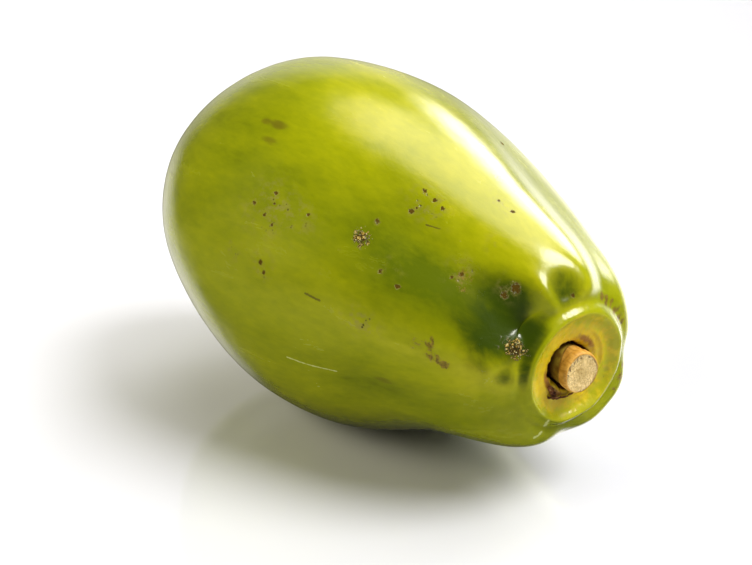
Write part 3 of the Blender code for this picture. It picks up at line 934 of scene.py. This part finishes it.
def make_splinters():
    """Short torn slivers that lie on the edge of the cut face."""
    turn, toe = stem_frame()
    corners = len(SPLINTER_SECTION)
    vertices = []
    faces = []
    for angle, radius, length, width, lean in SPLINTERS:
        middle = round_points(radius, angle, 0.0)
        along = round_points(1.0, angle + 90.0 + lean, 0.0)
        across = np.array([-along[1], along[0], 0.0])
        foot = STEM_LENGTH - SPLINTER_DROP - SPLINTER_EDGE_DROP * radius / FACE_RADIUS
        base = len(vertices)
        for step in range(SPLINTER_STEPS):
            share = step / (SPLINTER_STEPS - 1)
            half = 0.5 * width * math.sin(math.pi * (0.08 + 0.86 * share)) ** 0.7
            centre = middle + along * length * (share - 0.5)
            for side, lift in SPLINTER_SECTION:
                height = foot + SPLINTER_RISE * share * share + half * lift
                local = centre + across * half * side + np.array([0.0, 0.0, height])
                vertices.append(local @ turn.T + toe)
        for step in range(SPLINTER_STEPS - 1):
            low = base + step * corners
            high = low + corners
            for corner in range(corners):
                after = (corner + 1) % corners
                faces.append((low + corner, low + after, high + after, high + corner))
        end = base + (SPLINTER_STEPS - 1) * corners
        faces.append(tuple(base + corner for corner in reversed(range(corners))))
        faces.append(tuple(end + corner for corner in range(corners)))
    add_piece("stem_splinters", vertices, faces, splinter_material())


def calyx_material():
    nodes = Wiring("papaya_calyx")
    mottle = nodes.noise(*CALYX_MOTTLE)
    colour = nodes.mix(nodes.ramp(mottle, 0.34, 0.60), CALYX_DARK, CALYX_BROWN)
    colour = nodes.mix(nodes.ramp(mottle, 0.60, 0.70, 0.0, 0.8), colour, CALYX_LIGHT)
    nodes.link(colour, nodes.shader.inputs["Base Color"])
    nodes.shader.inputs["Roughness"].default_value = 0.75
    nodes.shader.inputs["Specular IOR Level"].default_value = 0.3
    nodes.link(nodes.bump(mottle, 0.0005, 0.9), nodes.shader.inputs["Normal"])
    return nodes.material


# Dry flakes in the dish: middle place, middle angle, length in degrees, width in places, free edge's rise
FLAKES = [
    (13.80, 226.0, 16.0, 0.50, 0.0006),
    (13.60, 240.0, 20.0, 0.34, 0.0006),
    (13.75, 258.0, 22.0, 0.30, 0.0006),
    (13.40, 232.0, 12.0, 0.26, 0.0004),
    (13.90, 212.0, 14.0, 0.40, 0.0006),
    (13.20, 224.0, 7.0, 0.22, 0.0003),
    (13.85, 276.0, 14.0, 0.26, 0.0005),
]
FLAKE_COLUMNS = 26
FLAKE_ROWS = 9
FLAKE_THICKNESS = 0.00028
FLAKE_GAP = 0.00035
FLAKE_CRUMPLE = 0.00025


def make_flakes():
    """Ragged dry scraps of the calyx, draped on the dish beside the stem, with curled free edges."""
    size = FLAKE_COLUMNS * FLAKE_ROWS
    grid = np.arange(size).reshape(FLAKE_ROWS, FLAKE_COLUMNS)
    loop = list(grid[0]) + list(grid[1:, -1]) + list(grid[-1, -2::-1]) + list(grid[-2:0:-1, 0])
    vertices = []
    faces = []
    for number, (middle, middle_angle, length, width, rise) in enumerate(FLAKES):
        steps = np.meshgrid(np.linspace(-1.0, 1.0, FLAKE_COLUMNS), np.linspace(-1.0, 1.0, FLAKE_ROWS))
        across, down = steps[0].ravel(), steps[1].ravel()
        edge = np.stack([across * 3.0, np.zeros(size), np.full(size, number * 7.3)], -1)
        ragged = 1.0 + 0.55 * wander(edge, 1.0, 1.7) + 0.35 * wander(edge, 3.1, 4.4)
        reach = np.sqrt(np.clip(1.0 - across ** 2, 0.02, 1.0)) * ragged
        angle = middle_angle + across * length / 2 + down * 2.0 * wander(edge, 2.0, 8.8)
        place = middle + down * reach * width / 2
        crumple = wander(np.stack([across * 2.4, down * 1.5, np.full(size, number * 3.1)], -1), 1.0)
        curl = rise * (0.5 + 0.5 * down) ** 2 * (0.6 + 0.6 * crumple)
        lift = FLAKE_GAP + curl + FLAKE_CRUMPLE * (1.0 + crumple)
        for layer in (0.0, FLAKE_THICKNESS):
            vertices.extend(skin_points(place, angle, lift + layer)[0])
        base = number * 2 * size
        top = base + size
        for low, high in zip(grid[:-1], grid[1:]):
            for corner in zip(low[:-1], low[1:], high[1:], high[:-1]):
                faces.append(tuple(int(top + index) for index in corner))
                faces.append(tuple(int(base + index) for index in reversed(corner)))
        for first, second in zip(loop, loop[1:] + loop[:1]):
            side = (base + first, base + second, top + second, top + first)
            faces.append(tuple(int(index) for index in side))
    flakes = add_piece("calyx_flakes", vertices, faces, calyx_material())
    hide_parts("calyx_scrap")


FLOOR_HALF_SIDE = 6.0
FLOOR_COLOUR = (0.66, 0.675, 0.78)
FLOOR_COAT_ROUGHNESS = 0.045
FLOOR_COAT_IOR = 2.3


def make_floor():
    """A plain pale floor, whose glossy coat mirrors the fruit a little."""
    far = FLOOR_HALF_SIDE
    mesh = bpy.data.meshes.new("floor")
    mesh.from_pydata([(-far, -far, 0), (far, -far, 0), (far, far, 0), (-far, far, 0)], [], [(0, 1, 2, 3)])
    floor = bpy.data.objects.new("floor", mesh)
    bpy.context.scene.collection.objects.link(floor)
    nodes = Wiring("floor")
    nodes.shader.inputs["Base Color"].default_value = (*FLOOR_COLOUR, 1.0)
    nodes.shader.inputs["Roughness"].default_value = 0.9
    nodes.shader.inputs["Specular IOR Level"].default_value = 0.0
    nodes.shader.inputs["Coat Weight"].default_value = 1.0
    nodes.shader.inputs["Coat Roughness"].default_value = FLOOR_COAT_ROUGHNESS
    nodes.shader.inputs["Coat IOR"].default_value = FLOOR_COAT_IOR
    mesh.materials.append(nodes.material)
    floor.visible_glossy = False


# Lights, with directions and widths in degrees
KEY_TURN = 36.0
KEY_RISE = 53.0
KEY_WIDTH = 36.0
KEY_STRENGTH = 3.9
LIGHT_COLOUR = (1.0, 0.975, 0.90)
FILL_TURN = -125.0
FILL_RISE = 24.0
FILL_POWER = 25.0
FILL_SIZE = 1.2
FILL_DISTANCE = 1.6
FILL_COLOUR = (1.0, 0.93, 0.64)
# Bright parts of the surroundings: turn, rise, full and outer half width, and brightness
DIM = 0.035
SKY_PATCHES = [
    (104.0, 28.0, 6.0, 22.0, 8.0),
    (105.0, 72.0, 12.0, 34.0, 2.6),
    (146.0, 10.0, 8.0, 28.0, 0.60),
    (172.0, -22.0, 6.0, 22.0, 0.9),
    (105.0, -20.0, 8.0, 32.0, 2.4),
]


def aim(thing, target):
    thing.rotation_euler = (target - thing.location).to_track_quat("-Z", "Y").to_euler()


def heading(turn, rise):
    """Direction with a compass turn from +X towards +Y, and a height, in degrees."""
    turn = math.radians(turn)
    rise = math.radians(rise)
    return Vector((math.cos(rise) * math.cos(turn), math.cos(rise) * math.sin(turn), math.sin(rise)))


def add_light(name, kind, strength, colour, place):
    data = bpy.data.lights.new(name, kind)
    data.energy = strength
    data.color = colour
    light = bpy.data.objects.new(name, data)
    bpy.context.scene.collection.objects.link(light)
    light.location = place
    aim(light, TARGET)
    return light


def add_key():
    """A round soft light far away, from the right of the camera and above."""
    key = add_light("key", "SUN", KEY_STRENGTH, LIGHT_COLOUR, TARGET + heading(KEY_TURN, KEY_RISE))
    key.data.angle = math.radians(KEY_WIDTH)


def add_fill():
    """A broad weak light from low on the left, which lifts the shadow without a reflection of its own."""
    place = TARGET + heading(FILL_TURN, FILL_RISE) * FILL_DISTANCE
    fill = add_light("fill", "AREA", FILL_POWER, FILL_COLOUR, place)
    fill.data.shape = "SQUARE"
    fill.data.size = FILL_SIZE
    fill.visible_glossy = False
    fill.visible_camera = False


def make_world():
    """Dim surroundings with bright parts behind: a window, the ceiling, a wall and the floor under them."""
    world = bpy.data.worlds.new("studio")
    bpy.context.scene.world = world
    world.use_nodes = True
    tree = world.node_tree
    background = tree.nodes["Background"]
    direction = tree.nodes.new("ShaderNodeTexCoord").outputs["Generated"]
    total = None
    for turn, rise, full, outer, brightness in SKY_PATCHES:
        dot = tree.nodes.new("ShaderNodeVectorMath")
        dot.operation = "DOT_PRODUCT"
        dot.inputs[1].default_value = heading(turn, rise)
        tree.links.new(direction, dot.inputs[0])
        ramp = tree.nodes.new("ShaderNodeMapRange")
        ramp.interpolation_type = "SMOOTHSTEP"
        ramp.inputs["From Min"].default_value = math.cos(math.radians(outer))
        ramp.inputs["From Max"].default_value = math.cos(math.radians(full))
        ramp.inputs["To Min"].default_value = 0.0
        ramp.inputs["To Max"].default_value = brightness
        tree.links.new(dot.outputs["Value"], ramp.inputs["Value"])
        both = tree.nodes.new("ShaderNodeMath")
        both.operation = "ADD"
        tree.links.new(ramp.outputs["Result"], both.inputs[0])
        if total is None:
            both.inputs[1].default_value = DIM
        else:
            tree.links.new(total, both.inputs[1])
        total = both.outputs[0]
    tree.links.new(total, background.inputs["Strength"])
    background.inputs["Color"].default_value = (*LIGHT_COLOUR, 1.0)


def make_camera():
    data = bpy.data.cameras.new("camera")
    data.sensor_width = SENSOR
    data.lens = FOCAL_PIXELS * SENSOR / PHOTO_WIDTH
    camera = bpy.data.objects.new("camera", data)
    bpy.context.scene.collection.objects.link(camera)
    camera.location = TARGET + heading(CAMERA_TURN - 90.0, CAMERA_RISE) * CAMERA_DISTANCE
    aim(camera, TARGET)
    bpy.context.scene.camera = camera


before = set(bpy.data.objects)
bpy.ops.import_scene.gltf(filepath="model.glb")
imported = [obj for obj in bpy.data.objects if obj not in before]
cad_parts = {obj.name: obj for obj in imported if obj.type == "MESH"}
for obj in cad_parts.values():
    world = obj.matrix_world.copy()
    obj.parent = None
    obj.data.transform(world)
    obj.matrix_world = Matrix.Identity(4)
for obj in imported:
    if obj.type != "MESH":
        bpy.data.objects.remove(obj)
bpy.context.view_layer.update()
make_camera()
make_skin()
make_stem()
make_splinters()
make_flakes()
make_floor()
make_world()
add_key()
add_fill()
bpy.context.scene.view_settings.view_transform = "Standard"
